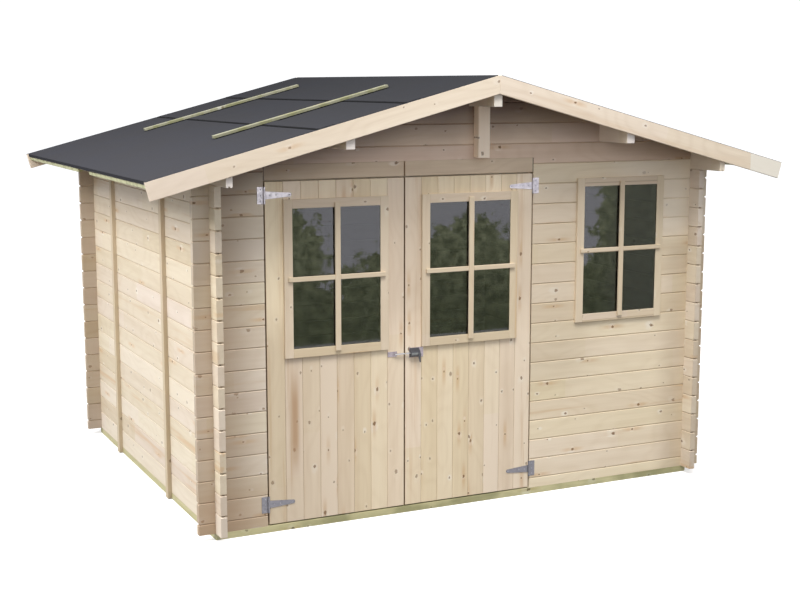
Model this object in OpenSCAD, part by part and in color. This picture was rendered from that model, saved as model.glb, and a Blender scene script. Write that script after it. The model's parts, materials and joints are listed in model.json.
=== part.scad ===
// Garden shed of stacked logs with a low gable roof, a pair of glazed plank doors and one window.
// Millimetres. X runs along the front, Y from front to back, Z up.
// The origin lies on the ground, under the middle of the roof.

/* [Walls] */
// Width between the outer faces of the two side walls
wall_w = 3020; // [2600:10:3600]
// Depth between the outer faces of the front and back walls
wall_d = 2514; // [2100:2:3200]
// Thickness of the wall logs
wall_t = 34; // [28:1:44]
// Height that each log adds to a wall
board_p = 114; // [100:1:130]
// Length by which the log ends stand past the crossing wall
log_end = 90; // [60:1:120]
// Width of the V joint between two logs
groove_w = 9; // [4:0.5:14]
// Depth of the V joint between two logs
groove_d = 4; // [2:0.5:7]
// Length of the bevel at the corners of a log's end
end_bevel = 11; // [4:1:18]
// Height of the bevel at the corners of a log's end
end_bevel_h = 7; // [3:1:12]
// Height of the top log of a side wall, at its outer face
top_log_h = 125; // [100:1:150]

/* [Base] */
// Height of the bearers under the walls
bearer_h = 37; // [30:1:60]
// Width of the bearers
bearer_w = 60; // [50:1:90]
// Number of floor joists between the front and back bearers
joist_count = 4; // [2:1:6]
// Width of a floor joist
joist_w = 45; // [35:1:70]
// Thickness of the floor boards
floor_t = 18; // [14:1:26]
// Width of one floor board
floor_board_w = 96; // [70:1:130]

/* [Roof] */
// Slope of the roof in degrees
roof_angle = 14.75; // [10:0.25:22]
// Reach of the roof in front of the front wall
front_overhang = 295; // [220:1:420]
// Reach of the roof behind the back wall
back_overhang = 98; // [60:1:160]
// Reach of the bargeboards past the side walls, measured level
eave_reach = 400; // [300:1:500]
// Distance by which the roof boards stop short of the bargeboard ends
eave_back = 14; // [5:1:40]
// Thickness of the roof boards
deck_t = 18; // [14:1:26]
// Thickness of one layer of roofing felt
felt_t = 4; // [2:0.5:6]
// Distance from the ridge to the upper felt seam, along the slope
seam_upper = 548; // [460:1:640]
// Distance from the ridge to the lower felt seam, along the slope
seam_lower = 1050; // [900:1:1160]
// Width of the lap where one sheet of felt covers the next
felt_lap = 80; // [50:1:120]
// Depth of the felt turned down over the eave
felt_turn = 14; // [8:1:18]
// Thickness of the bargeboards
barge_t = 18; // [14:1:26]
// Height of the bargeboards
barge_h = 95; // [80:1:125]
// Width of the three purlins
purlin_w = 50; // [40:1:60]
// Height of the ridge purlin
ridge_purlin_h = 143; // [120:1:165]
// Height of the side purlins at their middle
side_purlin_h = 126; // [110:1:150]
// Distance of the side purlins from the ridge
side_purlin_x = 850; // [760:5:960]
// Width of the laths that hold the felt down
felt_lath_w = 40; // [25:1:60]
// Thickness of the laths that hold the felt down
felt_lath_t = 16; // [10:1:24]
// Distance from the ridge to the top of a felt lath, along the slope
felt_lath_top = 265; // [180:5:340]
// Length of a felt lath
felt_lath_len = 1075; // [950:5:1250]
// Distance of the front felt lath behind the front wall
felt_lath_front = 540; // [400:5:700]
// Distance of the back felt lath behind the front wall
felt_lath_back = 1925; // [1750:5:2200]
// Width of the eave strip
eave_strip_w = 38; // [25:1:60]
// Depth of the eave strip below the roof boards
eave_strip_t = 20; // [12:1:28]
// Length of the front eave strip
eave_strip_front = 1205; // [1000:5:1300]
// Open length between the front and back eave strips
eave_strip_gap = 265; // [100:5:320]

/* [Trim] */
// Width of the post on the gable, under the ridge purlin
post_w = 72; // [50:1:95]
// Thickness of the gable post
post_t = 54; // [35:1:70]
// Height of the gable post
post_h = 280; // [220:1:285]
// Distance of the gable post from the ridge, middle to middle
post_offset = 42; // [0:1:48]
// Width of the upright battens on the side walls
side_batten_w = 45; // [30:1:70]
// Thickness of the upright battens on the side walls
side_batten_t = 24; // [15:1:40]
// Distance of the front side batten behind the front wall
side_batten_front = 804; // [500:2:1000]
// Distance of the back side batten behind the front wall
side_batten_back = 1912; // [1500:2:2050]
// Height of the lower end of the side battens above the ground
side_batten_foot = 4; // [2:1:30]

/* [Doorway] */
// Distance from the outer face of the left wall to the doorway
door_x = 290; // [230:1:420]
// Width of the doorway in the log wall
door_w = 1610; // [1450:1:1700]
// Height of the doorway, from the wall's lower edge to the head boards
door_h = 1835; // [1700:1:1950]
// Height of the head boards over the doors
head_h = 80; // [60:1:110]
// Gap round the door leaves
door_gap = 8; // [7:0.5:12]
// Thickness of the door boards
leaf_t = 28; // [22:1:28]
// Number of boards in one door leaf
leaf_boards = 8; // [6:1:10]
// Width of the jambs behind the doorway
jamb_w = 58; // [45:1:80]
// Depth of the jambs, from front to back
jamb_t = 40; // [30:1:60]
// Reach of the jambs into the doorway, where the leaves stop
jamb_lip = 16; // [10:1:24]
// Height of a ledge on the back of a door leaf
ledge_h = 84; // [70:1:90]
// Thickness of a ledge
ledge_t = 20; // [15:1:26]
// Distance of the ledges from the side edges of the leaf
ledge_inset = 62; // [45:1:80]
// Distance of the outer ledges from the ends of the leaf
ledge_from_end = 28; // [20:1:32]
// Distance of the middle ledge below the hole for the leaf's window
ledge_below = 65; // [20:1:120]

/* [Windows] */
// Width of the glass that shows in each window
light_w = 503; // [440:1:560]
// Height of the glass that shows in each window
light_h = 740; // [640:1:800]
// Width of the casing round each window
casing_w = 48; // [36:1:60]
// Thickness of the casing
casing_t = 15; // [10:1:22]
// Thickness of the lining inside the window hole
lining_t = 18; // [14:1:24]
// Depth of the rebate that holds the glass
rebate_w = 8; // [4:1:11]
// Thickness of the glass
glass_t = 4; // [3:0.5:6]
// Depth of the glass behind the face of the casing
glass_back = 5; // [3:1:9]
// Share of the wall right of the doorway at which the middle of the window lies
window_place_share = 0.526; // [0.48:0.002:0.56]
// Height of the logs left over the window hole
window_drop = 120; // [60:1:200]
// Distance from the top of a door leaf to the glass in it
door_light_drop = 141; // [110:1:180]

/* [Hinges and latch] */
// Radius of the hinge knuckles
knuckle_r = 6; // [5:0.5:8]
// Radius of the hinge pins
pin_r = 3; // [2:0.5:4]
// Height of a hinge plate and its knuckles
plate_h = 88; // [70:1:110]
// Width of a hinge plate on the wall
plate_w = 32; // [24:1:45]
// Thickness of the hinge metal
plate_t = 3; // [2:0.5:4]
// Length of a hinge strap on the door
strap_len = 150; // [120:1:200]
// Width of a hinge strap at its root, and height of the knuckle there
strap_root = 40; // [30:1:50]
// Width of a hinge strap at its tip
strap_tip = 20; // [12:1:28]
// Distance of the hinges from the lower end of the leaf
hinge_low = 110; // [90:1:160]
// Distance of the hinges from the upper end of the leaf
hinge_high = 68; // [60:1:120]
// Distance from the casing of a door's window down to the catch
latch_below = 3; // [2:1:60]
// Radius of the latch bar
latch_bar_r = 4; // [3:0.5:6]
// Distance of the latch bar in front of the door boards
latch_bar_out = 13; // [10:0.5:18]
// Width of the plate that carries the latch bar
latch_plate_w = 56; // [40:1:70]
// Height of the plate that carries the latch bar
latch_plate_h = 28; // [22:1:45]
// Distance of that plate from the edge of the leaf
latch_plate_inset = 42; // [35:1:60]
// Width of the catch on the other leaf
catch_w = 60; // [45:1:75]
// Height of the catch
catch_h = 54; // [40:1:60]
// Thickness of the catch
catch_t = 25; // [22:1:34]
// Distance of the catch from the edge of its leaf
catch_inset = 24; // [18:1:40]
// Reach of the catch's back plate past the catch
catch_plate_reach = 26; // [16:1:40]
// Length of the catch's thumb lever below the catch
lever_len = 27; // [20:1:45]

/* [Hidden] */

// Overrun of cutting shapes past the faces that they cut
over = 20;
// Play where logs, frames and boards fit into one another
fit = 0.3;
// Play between sloping faces that lie on one another
seat = 0.1;
// Play between a hinge pin and its knuckle
pin_play = 0.3;
// Gap between two neighbouring hinge knuckles
knuckle_gap = 1;
// Width and height of the pocket left between tongue and groove at a log's end
pocket_w = 9;
pocket_h = 7;
// Depth of that pocket
pocket_d = 10;
// Width and depth of the joints between door boards and between floor boards
plank_groove_w = 5;
plank_groove_d = 2.5;
// Share of the felt lap over which the upper sheet climbs onto the lower one
climb_share = 0.2;
// Shares of a log's height where it stays whole in a corner crossing
low_share = 0.25;
high_share = 0.75;
// Share of the catch's height at which its rounding starts
catch_round_share = 0.4;
// Shares of the catch's width that the thumb lever takes at its root and at its tip
lever_share = 0.3;
lever_tip_share = 0.12;
// Opening left between the ends of the latch bar and of the catch's nose
latch_gap = 5.5;

half_w = wall_w / 2;
y_front = (front_overhang - wall_d - back_overhang) / 2;
y_back = y_front + wall_d;
roof_front = y_front - front_overhang;
roof_back = y_back + back_overhang;
z_wall = bearer_h;
rows = floor((door_h + head_h) / board_p - 1 / 2);
z_side = z_wall + rows * board_p;
z_split = z_wall + (rows + 1 / 2) * board_p;
slope = tan(roof_angle);
z_peak = z_side + top_log_h + half_w * slope;
deck_len = (half_w + eave_reach) / cos(roof_angle) - eave_back;
barge_len = deck_len + eave_back;
roof_top = deck_t + felt_t;

door_left = door_x - half_w;
door_right = door_left + door_w;
door_mid = (door_left + door_right) / 2;
z_door_top = z_wall + door_h;
z_head_top = z_door_top + head_h;
leaf_w = (door_w - 3 * door_gap) / 2;
leaf_low = z_wall + door_gap;
leaf_high = z_door_top - door_gap;
leaf_h = leaf_high - leaf_low;
light_low = leaf_high - door_light_drop - light_h;

hole_w = light_w + 2 * lining_t;
hole_h = light_h + 2 * lining_t;
window_x = door_right + window_place_share * (half_w - door_right);
window_left = window_x - hole_w / 2;
window_right = window_x + hole_w / 2;
window_top = z_split - window_drop;
window_bottom = window_top - hole_h;

hinge_y = y_front - knuckle_r;
left_hinge_x = door_left + door_gap / 2;
right_hinge_x = door_right - door_gap / 2;
latch_level = light_low - casing_w - latch_below - catch_h / 2;

WOOD = "#d8c7a8";
PALE = "#e8dcc8";
GREEN = "#bebe8c";
FELT = "#5a5c61";
ZINC = "#9a9ca4";
GLASS = "#41463c";

// Height of what carries the roof boards, at a distance x from the ridge
function under(x) = z_peak - abs(x) * slope - seat;

// Point of the right-hand slope, s along it from the ridge and h square to it, from the boards' underside
function slope_point(q) = [
    q[0] * cos(roof_angle) + q[1] * sin(roof_angle),
    z_peak - q[0] * sin(roof_angle) + q[1] * cos(roof_angle)
];

// Place along the slope that lies straight over the ridge line at a height h above the underside
function ridge_start(h) = -h * slope;

// Heights of the log joints of a wall between two levels, for a wall that starts with a given share of a log
function joint_levels(z0, z1, start_share) = [
    for (k = [0:rows + ceil(z_peak / board_p)])
        let (z = z_wall + (k + start_share) * board_p)
        if (z > z0 + groove_w && z < z1 - groove_w) z
];

// Outline of a wall's section from z0 to z1, with V joints in both faces and half joints at foot or head
module log_section(z0, z1, start_share, foot, head) {
    levels = joint_levels(z0, z1, start_share);
    joints = [for (z = levels, q = [[0, -groove_w / 2], [groove_d, 0], [0, groove_w / 2]]) [q[0], z + q[1]]];
    below = foot ? [[groove_d, z0], [0, z0 + groove_w / 2]] : [[0, z0]];
    above = head ? [[0, z1 - groove_w / 2], [groove_d, z1]] : [[0, z1]];
    outer = concat(below, joints, above);
    polygon(concat(outer, [for (i = [len(outer) - 1:-1:0]) [wall_t - outer[i][0], outer[i][1]]]));
}

// Wall of logs along X, with its outer or inner face at y
module logs_along_x(x0, x1, y, z0, z1, foot = false, head = true, start_share = 1 / 2) {
    translate([x0, y, 0]) rotate([90, 0, 90]) linear_extrude(x1 - x0)
        log_section(z0, z1, start_share, foot, head);
}

// Wall of logs along Y, with its left face at x
module logs_along_y(y0, y1, x, z0, z1, foot = false, head = true, start_share = 1) {
    translate([x, y1, 0]) rotate([90, 0, 0]) linear_extrude(y1 - y0)
        log_section(z0, z1, start_share, foot, head);
}

// Bevels and tongue pockets at the ends of logs that end at x, on the side given by way
module x_end_cuts(x, way, y, z0, z1, start_share = 1 / 2) {
    for (z = joint_levels(z0 - board_p, z1 + board_p, start_share)) {
        translate([x, y + wall_t + over, z]) rotate([90, 0, 0]) linear_extrude(wall_t + 2 * over)
            polygon([[way * over, -end_bevel_h * (1 + over / end_bevel)], [-way * end_bevel, 0],
                [way * over, end_bevel_h * (1 + over / end_bevel)]]);
        translate([x - way * pocket_d / 2, y + wall_t / 2, z])
            cube([pocket_d + 2 * end_bevel, pocket_w, pocket_h], center = true);
    }
}

// The same cuts for logs that run along Y and end at y
module y_end_cuts(y, way, x, z0, z1, start_share = 1) {
    for (z = joint_levels(z0 - board_p, z1 + board_p, start_share)) {
        translate([x - over, y, z]) rotate([90, 0, 90]) linear_extrude(wall_t + 2 * over)
            polygon([[way * over, -end_bevel_h * (1 + over / end_bevel)], [-way * end_bevel, 0],
                [way * over, end_bevel_h * (1 + over / end_bevel)]]);
        translate([x + wall_t / 2, y - way * pocket_d / 2, z])
            cube([pocket_w, pocket_d + 2 * end_bevel, pocket_h], center = true);
    }
}

// Notches in a front or back log wall where the logs of a side wall cross it
module notches_for_side_logs(x, y) {
    for (k = [0:rows])
        translate([x - fit, y - over, z_wall + (k + low_share) * board_p - fit])
            cube([wall_t + 2 * fit, wall_t + 2 * over, (high_share - low_share) * board_p + 2 * fit]);
}

// Notches in a side wall where the logs of the front or back wall cross it
module notches_for_front_logs(x, y) {
    for (k = [0:rows + 1])
        translate([x - over, y - fit, z_wall + (k - low_share) * board_p])
            cube([wall_t + 2 * over, wall_t + 2 * fit, 2 * low_share * board_p]);
}

// Prism along Y of a section in slope coordinates, on the right slope or mirrored to the left one
module slope_prism(points, y0, y1, side) {
    mirror([side < 0 ? 1 : 0, 0, 0]) translate([0, y1, 0]) rotate([90, 0, 0])
        linear_extrude(y1 - y0) polygon([for (q = points) slope_point(q)]);
}

// Bearers and floor
module bearer_x(y) {
    color(GREEN) translate([-half_w, y, 0]) cube([wall_w, bearer_w, bearer_h]);
}

module bearer_y(x) {
    color(GREEN) translate([x, y_front + bearer_w, 0]) cube([bearer_w, wall_d - 2 * bearer_w, bearer_h]);
}

module front_bearer() { bearer_x(y_front); }
module back_bearer() { bearer_x(y_back - bearer_w); }
module left_bearer() { bearer_y(-half_w); }
module right_bearer() { bearer_y(half_w - bearer_w); }

module floor_joists() {
    clear = wall_w - 2 * bearer_w;
    step = clear / (joist_count + 1);
    color(GREEN) for (k = [1:joist_count])
        translate([-clear / 2 + k * step - joist_w / 2, y_front + bearer_w, 0])
            cube([joist_w, wall_d - 2 * bearer_w, bearer_h]);
}

module floor() {
    w = wall_w - 2 * wall_t - 2 * fit;
    d = wall_d - 2 * wall_t - 2 * fit;
    count = ceil(d / floor_board_w);
    seams = [for (k = [1:count - 1]) k * d / count];
    top = [for (s = seams, q = [[-plank_groove_w / 2, 0], [0, -plank_groove_d], [plank_groove_w / 2, 0]])
        [s + q[0], floor_t + q[1]]];
    color(WOOD) translate([-w / 2, y_front + wall_t + fit, z_wall]) rotate([90, 0, 90]) linear_extrude(w)
        polygon(concat([[0, 0], [0, floor_t]], top, [[d, floor_t], [d, 0]]));
}

// Front wall, in pieces beside and over the doorway and round the window
module front_wall_left() {
    x0 = -half_w - log_end;
    color(WOOD) difference() {
        logs_along_x(x0, door_left, y_front, z_wall, z_split);
        notches_for_side_logs(-half_w, y_front);
        x_end_cuts(x0, -1, y_front, z_wall, z_split);
    }
}

module front_wall_middle() {
    color(WOOD) logs_along_x(door_right, window_left, y_front, z_wall, z_split);
}

module front_wall_below_window() {
    color(WOOD) logs_along_x(window_left, window_right, y_front, z_wall, window_bottom, head = false);
}

module front_wall_above_window() {
    color(WOOD) logs_along_x(window_left, window_right, y_front, window_top, z_split);
}

module front_wall_right() {
    x1 = half_w + log_end;
    color(WOOD) difference() {
        logs_along_x(window_right, x1, y_front, z_wall, z_split);
        notches_for_side_logs(half_w - wall_t, y_front);
        x_end_cuts(x1, 1, y_front, z_wall, z_split);
    }
}

// Gable wall with its outer face at y, cut to the slopes and notched for the purlins
module gable(y) {
    reach = half_w + log_end;
    difference() {
        intersection() {
            logs_along_x(-reach, reach, y, z_split, z_peak, foot = true, head = false);
            translate([0, y + wall_t + over, 0]) rotate([90, 0, 0]) linear_extrude(wall_t + 2 * over)
                polygon([[-reach, z_split], [reach, z_split], [reach, under(reach)], [0, under(0)],
                    [-reach, under(reach)]]);
        }
        purlin_shape(0, ridge_purlin_h, y - over, y + wall_t + over, fit);
        for (side = [-1, 1])
            purlin_shape(side * side_purlin_x, side_purlin_h, y - over, y + wall_t + over, fit);
        for (x = [-half_w, half_w - wall_t])
            notches_for_side_logs(x, y);
        for (way = [-1, 1])
            x_end_cuts(way * reach, way, y, z_split, z_split);
    }
}

module front_gable() {
    color(WOOD) difference() {
        gable(y_front);
        translate([door_left, y_front - over, z_wall])
            cube([door_w, wall_t + 2 * over, z_head_top + fit - z_wall]);
    }
}

module back_wall() {
    y = y_back - wall_t;
    reach = half_w + log_end;
    color(WOOD) difference() {
        logs_along_x(-reach, reach, y, z_wall, z_split);
        for (x = [-half_w, half_w - wall_t])
            notches_for_side_logs(x, y);
        for (way = [-1, 1])
            x_end_cuts(way * reach, way, y, z_wall, z_split);
    }
}

module back_gable() {
    color(WOOD) gable(y_back - wall_t);
}

// Side walls and the longer top logs that carry the overhang
module side_wall(x) {
    y0 = y_front - log_end;
    y1 = y_back + log_end;
    color(PALE) difference() {
        logs_along_y(y0, y1, x, z_wall, z_side);
        for (y = [y_front, y_back - wall_t])
            notches_for_front_logs(x, y);
        y_end_cuts(y0, -1, x, z_wall, z_side);
        y_end_cuts(y1, 1, x, z_wall, z_side);
    }
}

module left_wall() { side_wall(-half_w); }
module right_wall() { side_wall(half_w - wall_t); }

module top_log(side) {
    y0 = roof_front + barge_t;
    y1 = roof_back - barge_t;
    inside = half_w - wall_t;
    color(PALE) mirror([side < 0 ? 1 : 0, 0, 0]) difference() {
        translate([0, y1, 0]) rotate([90, 0, 0]) linear_extrude(y1 - y0)
            polygon([[inside + groove_d, z_side], [half_w - groove_d, z_side], [half_w, z_side + groove_w / 2],
                [half_w, under(half_w)], [inside, under(inside)], [inside, z_side + groove_w / 2]]);
        for (y = [y_front, y_back - wall_t])
            notches_for_front_logs(inside, y);
        translate([half_w - wall_t / 2, (y0 + y1) / 2, z_side])
            cube([pocket_w, y1 - y0 + over, 2 * pocket_h], center = true);
    }
}

module left_top_log() { top_log(-1); }
module right_top_log() { top_log(1); }

// Purlins, bevelled on top to lie under the roof boards
module purlin_shape(x, h, y0, y1, play = 0) {
    x0 = x - purlin_w / 2 - play;
    x1 = x + purlin_w / 2 + play;
    low = under(x) - h - play;
    rise = play > 0 ? over : 0;
    top = x == 0 ? [[x1, under(x1) + rise], [0, under(0) + rise], [x0, under(x0) + rise]]
        : [[x1, under(x1) + rise], [x0, under(x0) + rise]];
    translate([0, y1, 0]) rotate([90, 0, 0]) linear_extrude(y1 - y0)
        polygon(concat([[x0, low], [x1, low]], top));
}

module purlin(x, h) {
    color(PALE) purlin_shape(x, h, roof_front + barge_t, roof_back - barge_t);
}

module ridge_purlin() { purlin(0, ridge_purlin_h); }
module left_purlin() { purlin(-side_purlin_x, side_purlin_h); }
module right_purlin() { purlin(side_purlin_x, side_purlin_h); }

// Roof boards, felt in three lapped sheets, and the laths that hold it
module roof_boards(side) {
    color(PALE) slope_prism([[0, 0], [deck_len, 0], [deck_len, deck_t], [ridge_start(deck_t), deck_t]],
        roof_front + barge_t, roof_back - barge_t, side);
}

module left_roof_boards() { roof_boards(-1); }
module right_roof_boards() { roof_boards(1); }

module felt(side) {
    top = deck_t + felt_t;
    lapped = top + felt_t;
    climb = felt_lap * climb_share;
    laps = [for (s = [seam_upper, seam_lower],
            q = [[-felt_lap - climb, top], [-felt_lap, lapped], [0, lapped], [0, top]]) [s + q[0], q[1]]];
    edge = deck_len + felt_t;
    color(FELT) slope_prism(concat([[ridge_start(deck_t), deck_t], [ridge_start(top), top]], laps,
        [[edge, top], [edge, deck_t - felt_turn], [deck_len, deck_t - felt_turn], [deck_len, deck_t]]),
        roof_front + barge_t, roof_back - barge_t, side);
}

module left_felt() { felt(-1); }
module right_felt() { felt(1); }

module felt_laths(side) {
    low = deck_t + 2 * felt_t + seat;
    high = low + felt_lath_t;
    s0 = felt_lath_top;
    s1 = felt_lath_top + felt_lath_len;
    color(GREEN) for (y = [felt_lath_front, felt_lath_back])
        slope_prism([[s0, low], [s1, low], [s1, high], [s0, high]],
            y_front + y - felt_lath_w / 2, y_front + y + felt_lath_w / 2, side);
}

module left_felt_laths() { felt_laths(-1); }
module right_felt_laths() { felt_laths(1); }

// Strips under the lower edge of the roof boards, in two lengths with a space between them
module eave_strips(side) {
    y0 = roof_front + barge_t;
    y1 = roof_back - barge_t;
    split = y0 + eave_strip_front;
    s0 = deck_len - eave_strip_w;
    section = [[s0, -eave_strip_t], [deck_len, -eave_strip_t], [deck_len, -seat], [s0, -seat]];
    color(GREEN) {
        slope_prism(section, y0, split, side);
        slope_prism(section, split + eave_strip_gap, y1, side);
    }
}

module left_eave_strips() { eave_strips(-1); }
module right_eave_strips() { eave_strips(1); }

module bargeboard(y, side) {
    low = roof_top - barge_h;
    color(PALE) slope_prism([[ridge_start(roof_top), roof_top], [barge_len, roof_top], [barge_len, low],
        [ridge_start(low), low]], y, y + barge_t, side);
}

module front_left_bargeboard() { bargeboard(roof_front, -1); }
module front_right_bargeboard() { bargeboard(roof_front, 1); }
module back_left_bargeboard() { bargeboard(roof_back - barge_t, -1); }
module back_right_bargeboard() { bargeboard(roof_back - barge_t, 1); }

// Posts on the gables and battens on the side walls
module gable_post(y) {
    color(PALE) translate([post_offset - post_w / 2, y, under(0) - ridge_purlin_h - post_h])
        cube([post_w, post_t, post_h]);
}

module front_gable_post() { gable_post(y_front - post_t); }
module back_gable_post() { gable_post(y_back); }

module wall_battens(x) {
    top = under(half_w + side_batten_t);
    color(GREEN) for (y = [side_batten_front, side_batten_back])
        translate([x, y_front + y, side_batten_foot])
            cube([side_batten_t, side_batten_w, top - side_batten_foot]);
}

module left_wall_battens() { wall_battens(-half_w - side_batten_t); }
module right_wall_battens() { wall_battens(half_w); }

// Head boards over the doors, and the jambs and head rail behind the doorway
module door_head_boards() {
    w = (door_w - door_gap) / 2 - fit;
    color(WOOD) for (x = [door_left + fit, door_right - fit - w])
        translate([x, y_front, z_door_top]) cube([w, wall_t, head_h]);
}

module jamb(x) {
    color(PALE) translate([x, y_front + wall_t, z_wall + floor_t])
        cube([jamb_w, jamb_t, z_head_top - z_wall - floor_t]);
}

module left_jamb() { jamb(door_left + jamb_lip - jamb_w); }
module right_jamb() { jamb(door_right - jamb_lip); }

module head_rail() {
    x0 = door_left + jamb_lip;
    low = z_door_top - jamb_lip;
    color(PALE) translate([x0, y_front + wall_t, low])
        cube([door_w - 2 * jamb_lip, jamb_t, z_head_top - low]);
}

// Glazed window: a casing on the outside, a lining through the hole and a rebate for the glass.
// x and z give the lower left corner of the glass that shows, depth the thickness of what it fills.
module window_unit(x, z, depth) {
    rebate = 2 * (rebate_w + fit);
    difference() {
        union() {
            translate([x - casing_w, y_front - casing_t, z - casing_w])
                cube([light_w + 2 * casing_w, casing_t, light_h + 2 * casing_w]);
            translate([x - lining_t + fit, y_front - casing_t, z - lining_t + fit])
                cube([hole_w - 2 * fit, casing_t + depth, hole_h - 2 * fit]);
        }
        translate([x, y_front - casing_t - over, z])
            cube([light_w, casing_t + depth + 2 * over, light_h]);
        translate([x - rebate / 2, y_front - casing_t + glass_back, z - rebate / 2])
            cube([light_w + rebate, casing_t + depth + over, light_h + rebate]);
    }
}

module window_pane(x, z) {
    translate([x - rebate_w, y_front - casing_t + glass_back, z - rebate_w])
        cube([light_w + 2 * rebate_w, glass_t, light_h + 2 * rebate_w]);
}

module window_frame() { color(WOOD) window_unit(window_left + lining_t, window_bottom + lining_t, wall_t); }
module window_glass() { color(GLASS) window_pane(window_left + lining_t, window_bottom + lining_t); }

// Door leaf of upright boards, with a hole for its window
function leaf_left(side) = side < 0 ? door_left + door_gap : door_right - door_gap - leaf_w;
function leaf_light_x(side) = leaf_left(side) + (leaf_w - light_w) / 2;

module door_leaf(side) {
    x = leaf_left(side);
    seams = [for (k = [1:leaf_boards - 1]) k * leaf_w / leaf_boards];
    face = [for (s = seams, q = [[-plank_groove_w / 2, 0], [0, plank_groove_d], [plank_groove_w / 2, 0]])
        [s + q[0], q[1]]];
    color(WOOD) difference() {
        translate([x, y_front, leaf_low]) linear_extrude(leaf_h)
            polygon(concat([[0, leaf_t], [0, 0]], face, [[leaf_w, 0], [leaf_w, leaf_t]]));
        translate([leaf_light_x(side) - lining_t, y_front - over, light_low - lining_t])
            cube([hole_w, leaf_t + 2 * over, hole_h]);
    }
}

module left_door() { door_leaf(-1); }
module right_door() { door_leaf(1); }

module door_ledges(side) {
    middle = light_low - lining_t - ledge_below - ledge_h;
    color(WOOD) for (z = [leaf_low + ledge_from_end, middle, leaf_high - ledge_from_end - ledge_h])
        translate([leaf_left(side) + ledge_inset, y_front + leaf_t, z])
            cube([leaf_w - 2 * ledge_inset, ledge_t, ledge_h]);
}

module left_door_ledges() { door_ledges(-1); }
module right_door_ledges() { door_ledges(1); }

module left_door_window() { color(WOOD) window_unit(leaf_light_x(-1), light_low, leaf_t); }
module right_door_window() { color(WOOD) window_unit(leaf_light_x(1), light_low, leaf_t); }
module left_door_glass() { color(GLASS) window_pane(leaf_light_x(-1), light_low); }
module right_door_glass() { color(GLASS) window_pane(leaf_light_x(1), light_low); }

// T hinges: straps with the middle knuckle on the doors, plates with pin and outer knuckles on the wall
function hinge_levels() = [leaf_low + hinge_low, leaf_high - hinge_high];

module hinge_straps(side) {
    root = strap_root / 2;
    tip = strap_tip / 2;
    color(ZINC) for (z = hinge_levels())
        translate([side < 0 ? left_hinge_x : right_hinge_x, hinge_y, z]) mirror([side < 0 ? 0 : 1, 0, 0])
            difference() {
                union() {
                    translate([0, 0, -root]) cylinder(r = knuckle_r, h = strap_root, $fn = 48);
                    translate([0, knuckle_r, 0]) rotate([90, 0, 0]) linear_extrude(plate_t) {
                        polygon([[0, -root], [2 * knuckle_r, -root], [strap_len - tip, -tip],
                            [strap_len - tip, tip], [2 * knuckle_r, root], [0, root]]);
                        translate([strap_len - tip, 0]) circle(r = tip, $fn = 48);
                    }
                }
                translate([0, 0, -plate_h / 2]) cylinder(r = pin_r + pin_play, h = plate_h, $fn = 48);
            }
}

module left_door_straps() { hinge_straps(-1); }
module right_door_straps() { hinge_straps(1); }

module hinge_plates(side) {
    space = strap_root + 2 * knuckle_gap;
    outer = (plate_h - space) / 2;
    color(ZINC) for (z = hinge_levels())
        translate([side < 0 ? left_hinge_x : right_hinge_x, hinge_y, z]) mirror([side < 0 ? 0 : 1, 0, 0]) {
            translate([0, 0, -plate_h / 2]) cylinder(r = pin_r, h = plate_h, $fn = 48);
            for (low = [-plate_h / 2, space / 2]) {
                translate([0, 0, low]) cylinder(r = knuckle_r, h = outer, $fn = 48);
                translate([-knuckle_r, knuckle_r - plate_t, low]) cube([knuckle_r, plate_t, outer]);
            }
            translate([-knuckle_r - plate_w, knuckle_r - plate_t, -plate_h / 2])
                cube([plate_w, plate_t, plate_h]);
        }
}

module left_hinge_plates() { hinge_plates(-1); }
module right_hinge_plates() { hinge_plates(1); }

// Latch: a bar on the left leaf meets the catch on the right leaf
module latch_bar() {
    edge = leaf_left(-1) + leaf_w;
    x0 = edge - latch_plate_inset - latch_plate_w;
    x1 = door_mid - latch_gap / 2;
    y_bar = y_front - latch_bar_out;
    color(ZINC) {
        translate([x0, y_front - plate_t, latch_level - latch_plate_h / 2])
            cube([latch_plate_w, plate_t, latch_plate_h]);
        translate([x0 + latch_plate_w - latch_plate_h / 2, y_bar, latch_level - latch_bar_r])
            cube([latch_plate_h / 2, latch_bar_out - plate_t, 2 * latch_bar_r]);
        translate([x0 + latch_plate_w - latch_plate_h / 2, y_bar, latch_level]) rotate([0, 90, 0])
            cylinder(r = latch_bar_r, h = x1 - x0 - latch_plate_w + latch_plate_h / 2, $fn = 32);
    }
}

module latch_catch() {
    x0 = leaf_left(1) + catch_inset;
    nose = door_mid + latch_gap / 2;
    y_bar = y_front - latch_bar_out;
    round_h = catch_h * catch_round_share;
    color(ZINC) {
        translate([x0, y_front - plate_t, latch_level - catch_h / 2])
            cube([catch_w + catch_plate_reach, plate_t, catch_h]);
        translate([x0, y_front, latch_level - catch_h / 2]) rotate([90, 0, 90]) linear_extrude(catch_w)
            polygon([[-plate_t, 0], [-catch_t, round_h / 2], [-catch_t, catch_h - round_h], [-plate_t, catch_h]]);
        translate([nose, y_bar, latch_level]) rotate([0, 90, 0])
            cylinder(r = latch_bar_r, h = x0 - nose + latch_bar_r, $fn = 32);
        translate([x0 + catch_w, y_front - catch_t + plate_t, latch_level]) rotate([90, 0, 0])
            linear_extrude(plate_t) polygon([[-catch_w * lever_share, 0], [0, 0], [0, -catch_h / 2 - lever_len],
                [-catch_w * lever_tip_share, -catch_h / 2 - lever_len]]);
    }
}

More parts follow.
